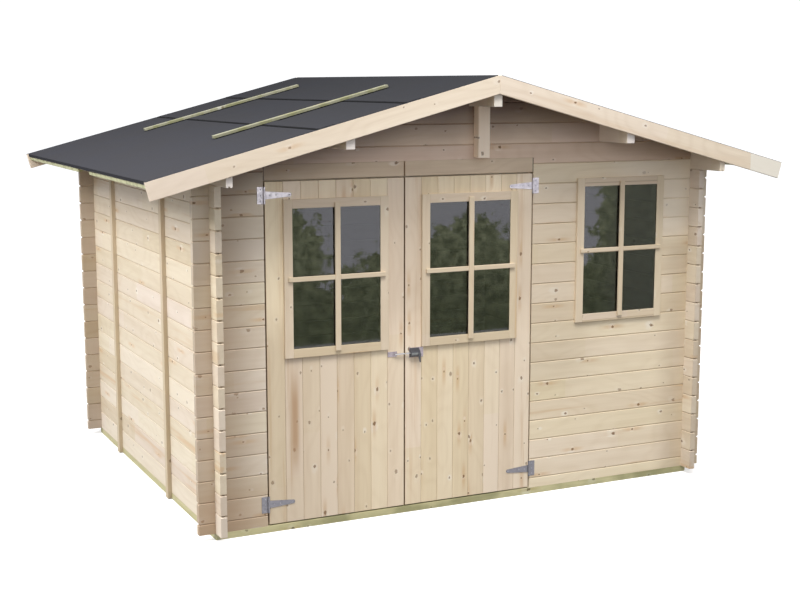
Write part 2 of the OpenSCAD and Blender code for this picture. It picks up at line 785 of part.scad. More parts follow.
front_bearer();
back_bearer();
left_bearer();
right_bearer();
floor_joists();
floor();
front_wall_left();
front_wall_middle();
front_wall_below_window();
front_wall_above_window();
front_wall_right();
front_gable();
back_wall();
back_gable();
left_wall();
right_wall();
left_top_log();
right_top_log();
ridge_purlin();
left_purlin();
right_purlin();
left_roof_boards();
right_roof_boards();
left_felt();
right_felt();
left_felt_laths();
right_felt_laths();
left_eave_strips();
right_eave_strips();
front_left_bargeboard();
front_right_bargeboard();
back_left_bargeboard();
back_right_bargeboard();
front_gable_post();
back_gable_post();
left_wall_battens();
right_wall_battens();
door_head_boards();
left_jamb();
right_jamb();
head_rail();
window_frame();
window_glass();
left_door();
left_door_ledges();
left_door_window();
left_door_glass();
left_door_straps();
latch_bar();
right_door();
right_door_ledges();
right_door_window();
right_door_glass();
right_door_straps();
latch_catch();
left_hinge_plates();
right_hinge_plates();
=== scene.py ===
import json
import math

import bmesh
import bpy
from mathutils import Matrix, Vector


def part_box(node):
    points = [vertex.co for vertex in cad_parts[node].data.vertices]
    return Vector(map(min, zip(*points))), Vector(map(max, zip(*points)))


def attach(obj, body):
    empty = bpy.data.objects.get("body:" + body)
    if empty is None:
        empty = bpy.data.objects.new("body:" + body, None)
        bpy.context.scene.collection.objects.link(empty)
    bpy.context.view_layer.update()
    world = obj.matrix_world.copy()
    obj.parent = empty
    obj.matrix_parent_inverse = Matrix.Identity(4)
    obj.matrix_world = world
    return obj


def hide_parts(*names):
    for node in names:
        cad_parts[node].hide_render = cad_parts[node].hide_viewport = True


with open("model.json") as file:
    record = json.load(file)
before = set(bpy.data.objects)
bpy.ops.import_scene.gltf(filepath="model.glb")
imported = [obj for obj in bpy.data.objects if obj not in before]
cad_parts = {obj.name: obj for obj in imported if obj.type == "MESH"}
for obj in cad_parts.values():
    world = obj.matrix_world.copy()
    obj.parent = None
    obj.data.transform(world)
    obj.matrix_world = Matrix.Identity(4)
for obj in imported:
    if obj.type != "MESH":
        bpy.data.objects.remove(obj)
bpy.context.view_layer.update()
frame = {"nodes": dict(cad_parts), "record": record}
nodes = frame["nodes"]
bodies = frame["record"]["behaviour"]["bodies"]
body_of = {name: body for body, names in bodies.items() for name in names}
scene = bpy.context.scene

# View and studio.
# A long lens looks from the front left, a little over door height, at the shed on a pale floor.
# Two broad soft lights, one on the left and one high over the front, stand in an even white room.
VIEW_AT = (-3.631, -7.777, 2.361)
VIEW_PITCH, VIEW_HEADING = 81.028, -25.727
SENSOR_MM, LENS_MM = 36, 61.635
lens = bpy.data.cameras.new("view")
lens.sensor_width = SENSOR_MM
lens.lens = LENS_MM
view = bpy.data.objects.new("view", lens)
view.location = VIEW_AT
view.rotation_euler = (math.radians(VIEW_PITCH), 0, math.radians(VIEW_HEADING))
scene.collection.objects.link(view)
scene.camera = view
scene.view_settings.view_transform = "Standard"


def add(tree, kind, inputs=None, **settings):
    """New node with its settings, and its inputs set to numbers or linked to sockets."""
    made = tree.nodes.new(kind)
    for key, value in settings.items():
        setattr(made, key, value)
    for key, value in (inputs or {}).items():
        if isinstance(value, bpy.types.NodeSocket):
            tree.links.new(value, made.inputs[key])
        else:
            made.inputs[key].default_value = value
    return made


def calc(tree, operation, *values):
    """Result of one Math node."""
    return add(tree, "ShaderNodeMath", dict(enumerate(values)), operation=operation).outputs[0]


def times(tree, first, *others):
    """Product of values."""
    for other in others:
        first = calc(tree, "MULTIPLY", first, other)
    return first


def ramp(tree, value, low, high, to_low=0.0, to_high=1.0):
    """Smooth step of a value between two limits."""
    limits = {"Value": value, "From Min": low, "From Max": high, "To Min": to_low, "To Max": to_high}
    return add(tree, "ShaderNodeMapRange", limits, interpolation_type="SMOOTHSTEP").outputs[0]


def split(tree, vector):
    """The three parts of a vector."""
    return add(tree, "ShaderNodeSeparateXYZ", {0: vector}).outputs


def plain_material(name):
    """New material with its node tree and its Principled shader."""
    made = bpy.data.materials.new(name)
    made.use_nodes = True
    return made, made.node_tree, made.node_tree.nodes["Principled BSDF"]


BACKDROP_LIGHT, ROOM_LIGHT, UNDER_LIGHT = 1.1, 0.98, 0.16
HORIZON = (-0.06, 0.1)
room = bpy.data.worlds.new("white_room")
room.use_nodes = True
scene.world = room
room_tree = room.node_tree
room_shade = room_tree.nodes["Background"]
seen = add(room_tree, "ShaderNodeLightPath").outputs["Is Camera Ray"]
level = split(room_tree, add(room_tree, "ShaderNodeTexCoord").outputs["Generated"])[2]
glow = ramp(room_tree, level, *HORIZON, UNDER_LIGHT, ROOM_LIGHT)
backdrop = times(room_tree, seen, BACKDROP_LIGHT)
room_shade.inputs["Color"].default_value = (0.975, 0.98, 1.0, 1)
room_tree.links.new(calc(room_tree, "MAXIMUM", backdrop, glow), room_shade.inputs["Strength"])

WARM = (1.0, 0.985, 0.96)


def soft_light(name, at, aim, width, height, power):
    """Broad panel of light at a place, turned to what it lights."""
    data = bpy.data.lights.new(name, "AREA")
    data.shape = "RECTANGLE"
    data.size = width
    data.size_y = height
    data.energy = power
    data.color = WARM
    panel = bpy.data.objects.new(name, data)
    panel.location = at
    panel.rotation_euler = (Vector(aim) - Vector(at)).to_track_quat("-Z", "Y").to_euler()
    scene.collection.objects.link(panel)


soft_light("left_panel", at=(-6.6, -1.0, 5.4), aim=(-1.5, -0.1, 1.0), width=4.0, height=3.0, power=425)
soft_light("front_panel", at=(-1.6, -4.9, 9.2), aim=(0.0, -1.2, 1.0), width=3.5, height=3.0, power=720)


def stage_sheet(name, material, matrix):
    """Flat sheet of the studio, a square of side 1 set by a matrix, that lights nothing else."""
    bm = bmesh.new()
    bmesh.ops.create_grid(bm, x_segments=1, y_segments=1, size=0.5, matrix=matrix)
    data = bpy.data.meshes.new(name)
    bm.to_mesh(data)
    bm.free()
    data.materials.append(material)
    made = bpy.data.objects.new(name, data)
    made.visible_diffuse = False
    scene.collection.objects.link(made)
    return made


FLOOR_WIDE = 60
floor_paint, _, floor_shade = plain_material("studio_floor")
floor_shade.inputs["Base Color"].default_value = (0.9, 0.9, 0.9, 1)
floor_shade.inputs["Roughness"].default_value = 0.9
floor_shade.inputs["Emission Color"].default_value = (1, 1, 1, 1)
floor_shade.inputs["Emission Strength"].default_value = 0.3
studio_floor = stage_sheet("studio_floor", floor_paint, Matrix.Diagonal((FLOOR_WIDE, FLOOR_WIDE, 1, 1)))


def mix(tree, share, first, second, blend="MIX"):
    """Colour between two colours."""
    colours = {0: share, 6: first, 7: second}
    return add(tree, "ShaderNodeMix", colours, data_type="RGBA", blend_type=blend).outputs[2]


def here(tree):
    """Place on the object."""
    return add(tree, "ShaderNodeTexCoord").outputs["Object"]


def noise(tree, place, scale, detail=2.0, roughness=0.5):
    """Outputs of cloudy noise."""
    values = {"Vector": place, "Scale": scale, "Detail": detail, "Roughness": roughness}
    return add(tree, "ShaderNodeTexNoise", values).outputs


# A tall glowing screen with a torn upper edge stands before the front, out of view, and paints a reflection of dark
# trees under open sky.
# It shows only in the panes, which mirror it, and lights nothing.
SCREEN_X, SCREEN_Y, SCREEN_Z = (-1.5, 8.5), -6.0, (-0.4, 3.2)
SCREEN_W, SCREEN_H = SCREEN_X[1] - SCREEN_X[0], SCREEN_Z[1] - SCREEN_Z[0]
TORN_EDGE = ((0.78, 1.55), (0.89, 1.28), (1.0, 1.16), (1.1, 1.02), (1.15, 0.55), (1.24, 0.5), (1.3, 0.72),
             (1.45, 0.74), (1.62, 0.8), (1.75, 0.85), (2.15, 0.95), (2.4, 1.06), (2.65, 1.12), (2.85, 1.05),
             (3.1, 0.92), (3.8, 0.62), (3.97, 0.66), (4.05, 0.85), (4.1, 1.4), (4.9, 1.6))
OPEN_LIGHT, FLECK_DIM, FLECK_LIT = (2.9, 2.88, 3.15, 1), (0.75, 0.85, 0.48, 1), (2.1, 2.25, 1.4, 1)
FOOT_SHADE, END_SHADE = (0.5, 0.52, 0.46, 1), (0.78, 0.78, 0.68, 1)
FACE_FRONT = Matrix.Rotation(math.radians(90), 4, "X")
screen_paint = bpy.data.materials.new("reflection_screen")
screen_paint.use_nodes = True
tree = screen_paint.node_tree
tree.nodes.clear()
spot = here(tree)
wander = noise(tree, spot, 7.0, 8.0, 0.78)["Color"]
wander = add(tree, "ShaderNodeVectorMath", {0: wander, 1: (0.5, 0.5, 0.5)}, operation="SUBTRACT").outputs[0]
wander = add(tree, "ShaderNodeVectorMath", {0: wander, 1: (1.1, 1.1, 1.1), 2: spot},
             operation="MULTIPLY_ADD").outputs[0]
screen_x, _, height = split(tree, wander)
screen_share = calc(tree, "DIVIDE", calc(tree, "SUBTRACT", screen_x, SCREEN_X[0]), SCREEN_W)
torn = add(tree, "ShaderNodeFloatCurve", {"Value": screen_share})
outline = torn.mapping.curves[0]
for at, top in TORN_EDGE:
    outline.points.new((at - SCREEN_X[0]) / SCREEN_W, top / SCREEN_H)
torn.mapping.update()
clear = ramp(tree, calc(tree, "SUBTRACT", height, times(tree, torn.outputs[0], SCREEN_H)), -0.03, 0.03)
fleck = noise(tree, spot, 11.0, 8.0, 0.75)["Fac"]
shadow = mix(tree, ramp(tree, fleck, 0.4, 0.62), FLECK_DIM, FLECK_LIT)
shadow = mix(tree, ramp(tree, height, 1.0, 0.1), shadow, mix(tree, 1.0, shadow, FOOT_SHADE, "MULTIPLY"))
shadow = mix(tree, ramp(tree, screen_x, 4.0, 4.5, 0.0, 0.75), shadow, END_SHADE)
shown = add(tree, "ShaderNodeEmission", {"Color": mix(tree, clear, shadow, OPEN_LIGHT), "Strength": 1.0})
tree.links.new(shown.outputs[0], add(tree, "ShaderNodeOutputMaterial").inputs["Surface"])
screen_middle = Matrix.Translation((sum(SCREEN_X) / 2, SCREEN_Y, sum(SCREEN_Z) / 2))
reflection_screen = stage_sheet("reflection_screen", screen_paint,
                          screen_middle @ FACE_FRONT @ Matrix.Diagonal((SCREEN_W, SCREEN_H, 1, 1)))
reflection_screen.visible_camera = False
reflection_screen.visible_shadow = False
reflection_screen.visible_transmission = False


# Sawn spruce.
# Every wooden piece is planed softwood: growth rings cut along the board, fine fibre, brown knots,
# boards of slightly different tone, and lengths joined end to end within a board.
def new_group(name, inputs, outputs):
    """Shader node group with its sockets."""
    tree = bpy.data.node_groups.new(name, "ShaderNodeTree")
    for label, kind, value in inputs:
        socket = tree.interface.new_socket(label, in_out="INPUT", socket_type=kind)
        if value is not None:
            socket.default_value = value
    for label, kind in outputs:
        tree.interface.new_socket(label, in_out="OUTPUT", socket_type=kind)
    return tree, add(tree, "NodeGroupInput").outputs, add(tree, "NodeGroupOutput").inputs


def join(tree, x, y, z):
    """Vector of three parts."""
    return add(tree, "ShaderNodeCombineXYZ", {0: x, 1: y, 2: z}).outputs[0]


def dice(tree, *counts):
    """Chance values that belong to three counts."""
    return add(tree, "ShaderNodeTexWhiteNoise", {"Vector": join(tree, *counts)}).outputs


def swing(tree, value, share, base):
    """Base moved down and up by a value that runs from 0 to 1."""
    return calc(tree, "MULTIPLY_ADD", calc(tree, "SUBTRACT", value, 0.5), share, base)


def span(tree, first, second):
    """Length of a step with two parts at right angles."""
    squares = [calc(tree, "POWER", part, 2.0) for part in (first, second)]
    return calc(tree, "SQRT", calc(tree, "ADD", *squares))


NUMBER, COLOUR, VECTOR = "NodeSocketFloat", "NodeSocketColor", "NodeSocketVector"
sawn, given, result = new_group("sawn_spruce", (
    ("Vector", VECTOR, None), ("Width", NUMBER, 0.114), ("Phase", NUMBER, 0.0), ("Seed", NUMBER, 0.0),
    ("Length", NUMBER, 1.1), ("Tone", NUMBER, 0.4), ("Knots", NUMBER, 0.5),
    ("Seam", NUMBER, 0.0012), ("Groove", NUMBER, 0.005),
    ("Pale", COLOUR, None), ("Deep", COLOUR, None), ("Amber", COLOUR, None), ("Knot", COLOUR, None),
), (("Color", COLOUR), ("Height", NUMBER), ("Roughness", NUMBER)))

# Boards side by side, each cut from another place of the trunk
BOARD_DRAW, BOARD_SHIFT = 3.7, 41.0
along, across, depth = split(sawn, given["Vector"])
row = calc(sawn, "ADD", calc(sawn, "DIVIDE", across, given["Width"]), given["Phase"])
board = calc(sawn, "FLOOR", row)
place = calc(sawn, "FRACT", row)
luck, turn, lean = split(sawn, dice(sawn, board, given["Seed"], BOARD_DRAW)["Color"])
run = calc(sawn, "ADD", along, times(sawn, turn, BOARD_SHIFT))

# Lengths joined end to end
piece = calc(sawn, "FLOOR", calc(sawn, "DIVIDE", run, given["Length"]))
piece_luck = dice(sawn, board, piece, given["Seed"])["Value"]

# Knots, one at most in each cell of a stretched net
CELL_ALONG, CELL_ACROSS = 4.2, 11.0
KNOT_LONG, KNOT_LEAST, KNOT_MORE, PALE_ASIDE = 1.35, 0.0034, 0.0055, 0.026
net = join(sawn, times(sawn, run, CELL_ALONG), times(sawn, across, CELL_ACROSS), 0.0)
cell = add(sawn, "ShaderNodeTexVoronoi", {"Vector": net, "Scale": 1.0}, voronoi_dimensions="2D")
off = add(sawn, "ShaderNodeVectorMath", {0: net, 1: cell.outputs["Position"]}, operation="SUBTRACT").outputs[0]
off_along, off_across, _ = split(sawn, off)
off_along = calc(sawn, "DIVIDE", off_along, CELL_ALONG * KNOT_LONG)
off_across = calc(sawn, "DIVIDE", off_across, CELL_ACROSS)
knot_size, knot_luck, knot_deep = split(sawn, cell.outputs["Color"])
radius = calc(sawn, "MULTIPLY_ADD", calc(sawn, "POWER", knot_size, 2.0), KNOT_MORE, KNOT_LEAST)
gnarl = noise(sawn, join(sawn, run, across, depth), 140.0)["Fac"]
spread = times(sawn, calc(sawn, "DIVIDE", span(sawn, off_along, off_across), radius),
               calc(sawn, "MULTIPLY_ADD", gnarl, 1.6, 0.2))
beside = span(sawn, swing(sawn, knot_size, PALE_ASIDE, off_along), off_across)
there = calc(sawn, "LESS_THAN", knot_luck, given["Knots"])
knot = times(sawn, there, ramp(sawn, spread, 1.15, 0.8))
halo = times(sawn, there, ramp(sawn, spread, 4.2, 0.6))
resin = times(sawn, there, ramp(sawn, knot_deep, 0.72, 0.82),
              ramp(sawn, calc(sawn, "ABSOLUTE", off_across), 0.017, 0.003),
              ramp(sawn, calc(sawn, "ABSOLUTE", off_along), 0.08, 0.01))

# Growth rings round a heart that lies behind the face and wanders along the board
RING_TURN, HEART_WANDER, KNOT_SWELL = 1050.0, 0.09, 0.008
drift_at = join(sawn, times(sawn, run, 0.9), times(sawn, across, 2.5), calc(sawn, "ADD", board, given["Seed"]))
drift = noise(sawn, drift_at, 1.0)["Fac"]
from_middle = calc(sawn, "ADD", calc(sawn, "SUBTRACT", place, 0.5), calc(sawn, "SUBTRACT", lean, 0.5))
from_heart = times(sawn, from_middle, given["Width"])
behind = calc(sawn, "ADD", calc(sawn, "MULTIPLY_ADD", drift, HEART_WANDER, depth), times(sawn, halo, KNOT_SWELL))
ring_turn = times(sawn, span(sawn, from_heart, behind), RING_TURN)
ring = calc(sawn, "MULTIPLY_ADD", calc(sawn, "SINE", ring_turn), 0.5, 0.5)
late = calc(sawn, "POWER", ring, 2.5)

# Fine fibre and broad streaks
FIBRES, STREAKS = 310.0, 19.0
fibre_at = join(sawn, times(sawn, run, 7.0), times(sawn, across, FIBRES), times(sawn, depth, FIBRES))
fibre = noise(sawn, fibre_at, 1.0, 3.0)["Fac"]
streak_at = join(sawn, times(sawn, run, 0.8), times(sawn, across, STREAKS),
                 calc(sawn, "MULTIPLY_ADD", depth, STREAKS, board))
streak = ramp(sawn, noise(sawn, streak_at, 1.0, 4.0, 0.6)["Fac"], 0.3, 0.75)

# Colour: board and length tones, heartwood, pale wood beside the knots, resin, knots, painted shade on the groove
# flanks, dark joints
ROSY, STRAW, WHITE = (0.985, 0.95, 0.99, 1), (1.0, 0.99, 0.9, 1), (1, 1, 1, 1)
tone = calc(sawn, "MULTIPLY_ADD", late, 0.12, times(sawn, fibre, 0.22))
tone = calc(sawn, "MULTIPLY_ADD", streak, 0.30, tone)
tone = swing(sawn, luck, given["Tone"], tone)
tone = swing(sawn, piece_luck, times(sawn, given["Tone"], 0.6), tone)
face = mix(sawn, tone, given["Pale"], given["Deep"])
hue = calc(sawn, "MULTIPLY_ADD", piece_luck, 0.6, times(sawn, turn, 0.4))
face = mix(sawn, 1.0, face, mix(sawn, hue, ROSY, STRAW), "MULTIPLY")
heartwood = times(sawn, ramp(sawn, streak, 0.62, 1.0), ramp(sawn, lean, 0.55, 0.95))
face = mix(sawn, times(sawn, heartwood, 0.45), face, given["Amber"])
ragged = swing(sawn, fibre, 5.0, swing(sawn, streak, 2.0, calc(sawn, "DIVIDE", beside, radius)))
pale_side = times(sawn, there, ramp(sawn, knot_deep, 0.1, 0.9, 0.15, 0.75), ramp(sawn, ragged, 3.1, 1.2))
face = mix(sawn, pale_side, face, mix(sawn, 0.25, given["Pale"], WHITE))
face = mix(sawn, times(sawn, resin, 0.5), face, given["Amber"])
face = mix(sawn, times(sawn, knot, calc(sawn, "MULTIPLY_ADD", knot_deep, 0.35, 0.55)), face, given["Knot"])
edge = times(sawn, calc(sawn, "MINIMUM", place, calc(sawn, "SUBTRACT", 1.0, place)), given["Width"])
groove = ramp(sawn, edge, given["Groove"], times(sawn, given["Groove"], 0.5))
crack = ramp(sawn, edge, given["Seam"], times(sawn, given["Seam"], 0.4))
# Painted shade over the V-groove flanks beside each joint, then the dark joint itself
face = mix(sawn, times(sawn, groove, 0.45), face, given["Deep"])
face = mix(sawn, times(sawn, crack, 0.6), face, given["Knot"])
relief = calc(sawn, "MULTIPLY_ADD", fibre, 0.6, times(sawn, knot, 0.5))
sawn.links.new(face, result["Color"])
sawn.links.new(calc(sawn, "ADD", times(sawn, late, 0.5), relief), result["Height"])
sawn.links.new(calc(sawn, "MULTIPLY_ADD", fibre, 0.2, 0.5), result["Roughness"])


def tint(red, green, blue):
    """Colour given as it shows on a screen, 0 to 255, turned linear."""
    steps = [c / 255 for c in (red, green, blue)]
    return tuple(c / 12.92 if c <= 0.04045 else ((c + 0.055) / 1.055) ** 2.4 for c in steps) + (1.0,)


SPRUCE = {"Pale": tint(231, 221, 204), "Deep": tint(201, 184, 160),
          "Amber": tint(208, 168, 118), "Knot": tint(112, 76, 32)}
ALONG_X, ALONG_Y, UPRIGHT, ALONG_X_FLAT = "XZY", "YZX", "ZXY", "XYZ"


def wood(name, order, width, start, seed, colours=SPRUCE, slope=0.0, by_plank=False, **values):
    """Wood with its grain along the first axis of order.

    Its boards have a width and are counted from start along the second axis. Each plank of a mesh can have
    grain of its own.
    """
    made, tree, shade = plain_material(name)
    spot = here(tree)
    if slope:
        spot = add(tree, "ShaderNodeMapping", {"Vector": spot, "Rotation": (0, slope, 0)}).outputs[0]
    axes = dict(zip("XYZ", split(tree, spot)))
    grain = add(tree, "ShaderNodeGroup", node_tree=sawn)
    tree.links.new(join(tree, *(axes[a] for a in order)), grain.inputs["Vector"])
    for key, value in {"Width": width, "Phase": -start / width, "Seed": seed, **colours, **values}.items():
        grain.inputs[key].default_value = value
    if by_plank:
        number = add(tree, "ShaderNodeAttribute", attribute_name="plank").outputs["Fac"]
        tree.links.new(calc(tree, "ADD", number, seed), grain.inputs["Seed"])
    bump = add(tree, "ShaderNodeBump", {"Height": grain.outputs["Height"], "Strength": 0.25, "Distance": 0.001})
    tree.links.new(grain.outputs["Color"], shade.inputs["Base Color"])
    tree.links.new(grain.outputs["Roughness"], shade.inputs["Roughness"])
    tree.links.new(bump.outputs[0], shade.inputs["Normal"])
    shade.inputs["Specular IOR Level"].default_value = 0.3
    return made


def shaded(material, colour, mask):
    """Lays a colour over a finish where a mask of the place says so; used for stains and for painted shade and light.
    """
    tree = material.node_tree
    socket = tree.nodes["Principled BSDF"].inputs["Base Color"]
    under = socket.links[0].from_socket
    tree.links.new(mix(tree, mask(tree, *split(tree, here(tree))), under, colour), socket)
    return material


def blotched(material, colour, scale, share):
    """Lays cloudy marks of a colour over a finish."""
    return shaded(material, colour, lambda t, x, y, z: ramp(
        t, noise(t, join(t, x, y, z), scale, 4.0)["Fac"], 0.42, 0.62, 0.0, share))


def dress(material, *names):
    """Gives CAD nodes that keep their shape a finish."""
    for name in names:
        data = nodes[name].data
        data.materials.clear()
        data.materials.append(material)


def finish_piece(bm, name, materials, body, slot, *stands_for):
    """Makes an object of a mesh, with its finishes, its body and the nodes that it stands for."""
    bmesh.ops.recalc_face_normals(bm, faces=bm.faces)
    data = bpy.data.meshes.new(name)
    bm.to_mesh(data)
    bm.free()
    for material in materials:
        data.materials.append(material)
    made = bpy.data.objects.new(name, data)
    scene.collection.objects.link(made)
    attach(made, body)
    if stands_for:
        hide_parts(*stands_for)
    return made


def ease_edges(bm, edges, ease, segments=2):
    """Takes edges off with a small round."""
    bmesh.ops.bevel(bm, geom=edges, offset=ease, offset_type="OFFSET", segments=segments, profile=0.5,
                    affect="EDGES", material=-1, clamp_overlap=True)


def eased(node, materials, slot, ease=0.002):
    """Copy of a sawn CAD piece with its arrises taken off, which stands for the node.

    A second finish goes on the end faces, which look to the front and back.
    """
    bm = bmesh.new()
    bm.from_mesh(nodes[node].data)
    bmesh.ops.remove_doubles(bm, verts=bm.verts, dist=1e-5)
    bmesh.ops.dissolve_limit(bm, angle_limit=math.radians(1), verts=bm.verts, edges=bm.edges)
    arrises = [e for e in bm.edges if len(e.link_faces) == 2 and e.calc_face_angle() > math.radians(20)]
    ease_edges(bm, arrises, ease)
    if len(materials) > 1:
        for f in bm.faces:
            f.material_index = int(abs(f.normal.y) > 0.9)
    return finish_piece(bm, node + "_eased", materials, body_of[node], slot, node)


# Base.
# Pressure-treated bearers lie under the four walls, joists between them carry a boarded floor.
# The treatment leaves them a pale green.
TREATED = {"Pale": tint(204, 199, 156), "Deep": tint(146, 140, 96),
           "Amber": tint(170, 150, 92), "Knot": tint(92, 80, 48)}
STAIN = tint(120, 120, 80)
# A width that holds a whole piece, so that no joint falls on it, and a length with few joints end to end
WHOLE, UNJOINED = 0.4, 6.0
bearer_x = wood("bearer_wood_front", ALONG_X, WHOLE, -0.1, 11, TREATED, Length=UNJOINED)
blotched(bearer_x, STAIN, 3.0, 0.6)
bearer_y = wood("bearer_wood_side", ALONG_Y, WHOLE, -0.1, 12, TREATED)
for name in ("front_bearer", "back_bearer"):
    eased(name, [bearer_x], "treated_wood")
for name in ("left_bearer", "right_bearer", "floor_joists"):
    eased(name, [bearer_y], "treated_wood")
FLOOR_BOARDS = 26
floor_low, floor_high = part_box("floor")
floor_board = (floor_high.y - floor_low.y) / FLOOR_BOARDS
dress(wood("floor_wood", ALONG_X_FLAT, floor_board, floor_low.y, 13), "floor")

# Log walls.
# Planed logs with a V joint, stacked and notched where they cross at the corners.
# The side walls lie half a log higher than the front and back, and the top log of a side is taller.
LOG = 0.114
WALL_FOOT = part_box("left_wall")[0].z
half_log = WALL_FOOT - LOG / 2
CORNER_X, CORNER_SOFT = 1.5, 0.01
CORNER_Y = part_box("front_wall_left")[0].y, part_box("back_wall")[1].y
LOG_END = (0.084, 0.0885)
SLOPE = math.radians(14.75)
SEAT = 0.0001
ridge_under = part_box("ridge_purlin")[1].z + SEAT
# Colours laid over the wood: a tone of painted shade, a darker one for the painted shadow of the roof, a browner foot
# and painted light
SHADE_TONE, ROOF_SHADOW_TONE = tint(146, 124, 102), tint(88, 66, 54)
BROWN_FOOT, PAINTED_LIGHT = tint(166, 128, 92), tint(255, 244, 226)


def apart(tree, first, second):
    """Distance between two values."""
    return calc(tree, "ABSOLUTE", calc(tree, "SUBTRACT", first, second))


def beyond_corner_x(share):
    """Mask of painted shade on the log ends that stand out past the side walls."""
    return lambda t, x, y, z: ramp(t, calc(t, "ABSOLUTE", x), CORNER_X, CORNER_X + CORNER_SOFT, 0.0, share)


def beyond_corner_y(share):
    """Mask of painted shade on the log ends that stand out past the front and back walls, weaker under the eaves."""
    middle, reach = sum(CORNER_Y) / 2, (CORNER_Y[1] - CORNER_Y[0]) / 2
    return lambda t, x, y, z: times(t, ramp(t, z, 1.8, 1.3), ramp(
        t, apart(t, y, middle), reach + LOG_END[0], reach + LOG_END[1], 0.0, share))


def roof_shadow_mask(t, x, y, z):
    """Mask of the painted shadow under the roof, which reaches further down on the left."""
    fall = times(t, calc(t, "ABSOLUTE", x), math.tan(SLOPE))
    below = calc(t, "SUBTRACT", calc(t, "SUBTRACT", ridge_under, fall), z)
    below = calc(t, "ADD", below, ramp(t, x, 0.0, 1.0, 0.0, 0.14))
    below = calc(t, "SUBTRACT", below, ramp(t, calc(t, "ABSOLUTE", x), 0.1, 0.4, 0.06, 0.0))
    return times(t, ramp(t, below, 0.03, 0.335, 0.97, 0.0), ramp(t, x, -CORNER_X, -CORNER_X + CORNER_SOFT))


# Front left: painted shade in the inner corner, on the log ends and under the roof, and browner at the foot
front_left_wood = wood("front_log_left", ALONG_X, LOG, half_log, 21, Knots=0.75, Tone=0.7)
shaded(front_left_wood, SHADE_TONE, lambda t, x, y, z: times(
    t, ramp(t, x, -CORNER_X, -CORNER_X + CORNER_SOFT), ramp(t, x, -1.44, -1.2, 0.68, 0.12)))
shaded(front_left_wood, SHADE_TONE, lambda t, x, y, z: times(
    t, ramp(t, x, -CORNER_X + CORNER_SOFT, -CORNER_X), ramp(t, z, 1.8, 1.3, 0.2, 0.62)))
shaded(front_left_wood, BROWN_FOOT, lambda t, x, y, z: ramp(t, z, 0.34, 0.12, 0.0, 0.3))
shaded(front_left_wood, ROOF_SHADOW_TONE, roof_shadow_mask)
dress(front_left_wood, "front_wall_left")

# Front right: a paler, lit copy of the wood, with painted shade on the log ends, toward the corner and beside the
# doors, and painted light at the upper right
LIT = {**SPRUCE, "Pale": tint(241, 228, 204), "Deep": tint(211, 192, 160)}
front_right_wood = wood("front_log_right", ALONG_X, LOG, half_log, 22, LIT, Knots=0.6)
shaded(front_right_wood, SHADE_TONE, beyond_corner_x(0.3))
shaded(front_right_wood, SHADE_TONE, lambda t, x, y, z: times(
    t, ramp(t, x, 1.22, 1.42, 0.0, 0.32), ramp(t, z, 1.48, 1.36)))
shaded(front_right_wood, PAINTED_LIGHT, lambda t, x, y, z: times(
    t, ramp(t, x, 0.8, 1.1, 0.0, 0.5), ramp(t, z, 1.42, 1.56)))
shaded(front_right_wood, SHADE_TONE, lambda t, x, y, z: times(
    t, ramp(t, x, 0.6, 0.95, 0.28, 0.06), ramp(t, z, 0.45, 0.8), ramp(t, z, 1.88, 1.72)))
dress(front_right_wood, "front_wall_middle", "front_wall_below_window", "front_wall_above_window", "front_wall_right")

# Gables, back and sides: the front gable in a warmer copy of the wood for its shade, painted shadow of the roof on
# both gables, painted shade on the log ends
GABLE = {**SPRUCE, "Pale": tint(238, 218, 199), "Deep": tint(208, 181, 156)}
gable_wood = wood("gable_log", ALONG_X, LOG, half_log, 23, GABLE, Seam=0.0005)
dress(shaded(gable_wood, ROOF_SHADOW_TONE, roof_shadow_mask), "front_gable")
back_gable_wood = wood("back_gable_log", ALONG_X, LOG, half_log, 24, Tone=0.6)
dress(shaded(back_gable_wood, ROOF_SHADOW_TONE, roof_shadow_mask), "back_gable")
back_wood = wood("back_log", ALONG_X, LOG, half_log, 24, Tone=0.6)
dress(shaded(back_wood, SHADE_TONE, beyond_corner_x(0.55)), "back_wall")
for number, side in enumerate(("left", "right")):
    side_wood = wood(f"{side}_log", ALONG_Y, LOG, WALL_FOOT, 25 + number, Tone=0.5)
    dress(shaded(side_wood, SHADE_TONE, beyond_corner_y(0.3)), f"{side}_wall")

# Top logs, with a pale end face on the left one
TOP_LOG_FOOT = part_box("left_top_log")[0].z
top_log_wood = wood("top_log", ALONG_Y, WHOLE, TOP_LOG_FOOT - LOG, 27)
PALE_END = {"Pale": tint(234, 228, 222), "Deep": tint(216, 208, 200),
          "Amber": tint(214, 202, 190), "Knot": tint(150, 130, 112)}
pale_end = wood("pale_end", ALONG_Y, WHOLE, TOP_LOG_FOOT - LOG, 28, PALE_END)
eased("left_top_log", [top_log_wood, pale_end], "log_wood", 0.0015)
eased("right_top_log", [top_log_wood], "log_wood", 0.0015)

# Roof.
# Three purlins carry boards laid down the slope, under felt in lapped sheets held by treated laths.
# Planed bargeboards close the two gable ends.
purlin_wood = wood("purlin_wood", ALONG_Y, WHOLE, 2.0, 31)
for name in ("ridge_purlin", "left_purlin", "right_purlin"):
    eased(name, [purlin_wood, pale_end], "log_wood")


def mark_new(bm, finish):
    """Gives the faces made last a number of their own, for their grain, and a finish."""
    layer = bm.faces.layers.float.get("plank") or bm.faces.layers.float.new("plank")
    number = 1 + max((f[layer] for f in bm.faces), default=0)
    for f in bm.faces:
        if f[layer] == 0:
            f[layer] = number
            f.material_index = finish


def plank(bm, low, high, ease, frame_of=Matrix.Identity(4), finish=0):
    """Board between two corners, with its arrises taken off, in a frame of its own."""
    low, high = Vector(map(min, low, high)), Vector(map(max, low, high))
    size = Matrix.Diagonal((high - low).to_4d())
    size[3][3] = 1
    made = bmesh.ops.create_cube(bm, size=1, matrix=frame_of @ Matrix.Translation((low + high) / 2) @ size)
    ease_edges(bm, list({e for v in made["verts"] for e in v.link_edges}), ease)
    mark_new(bm, finish)


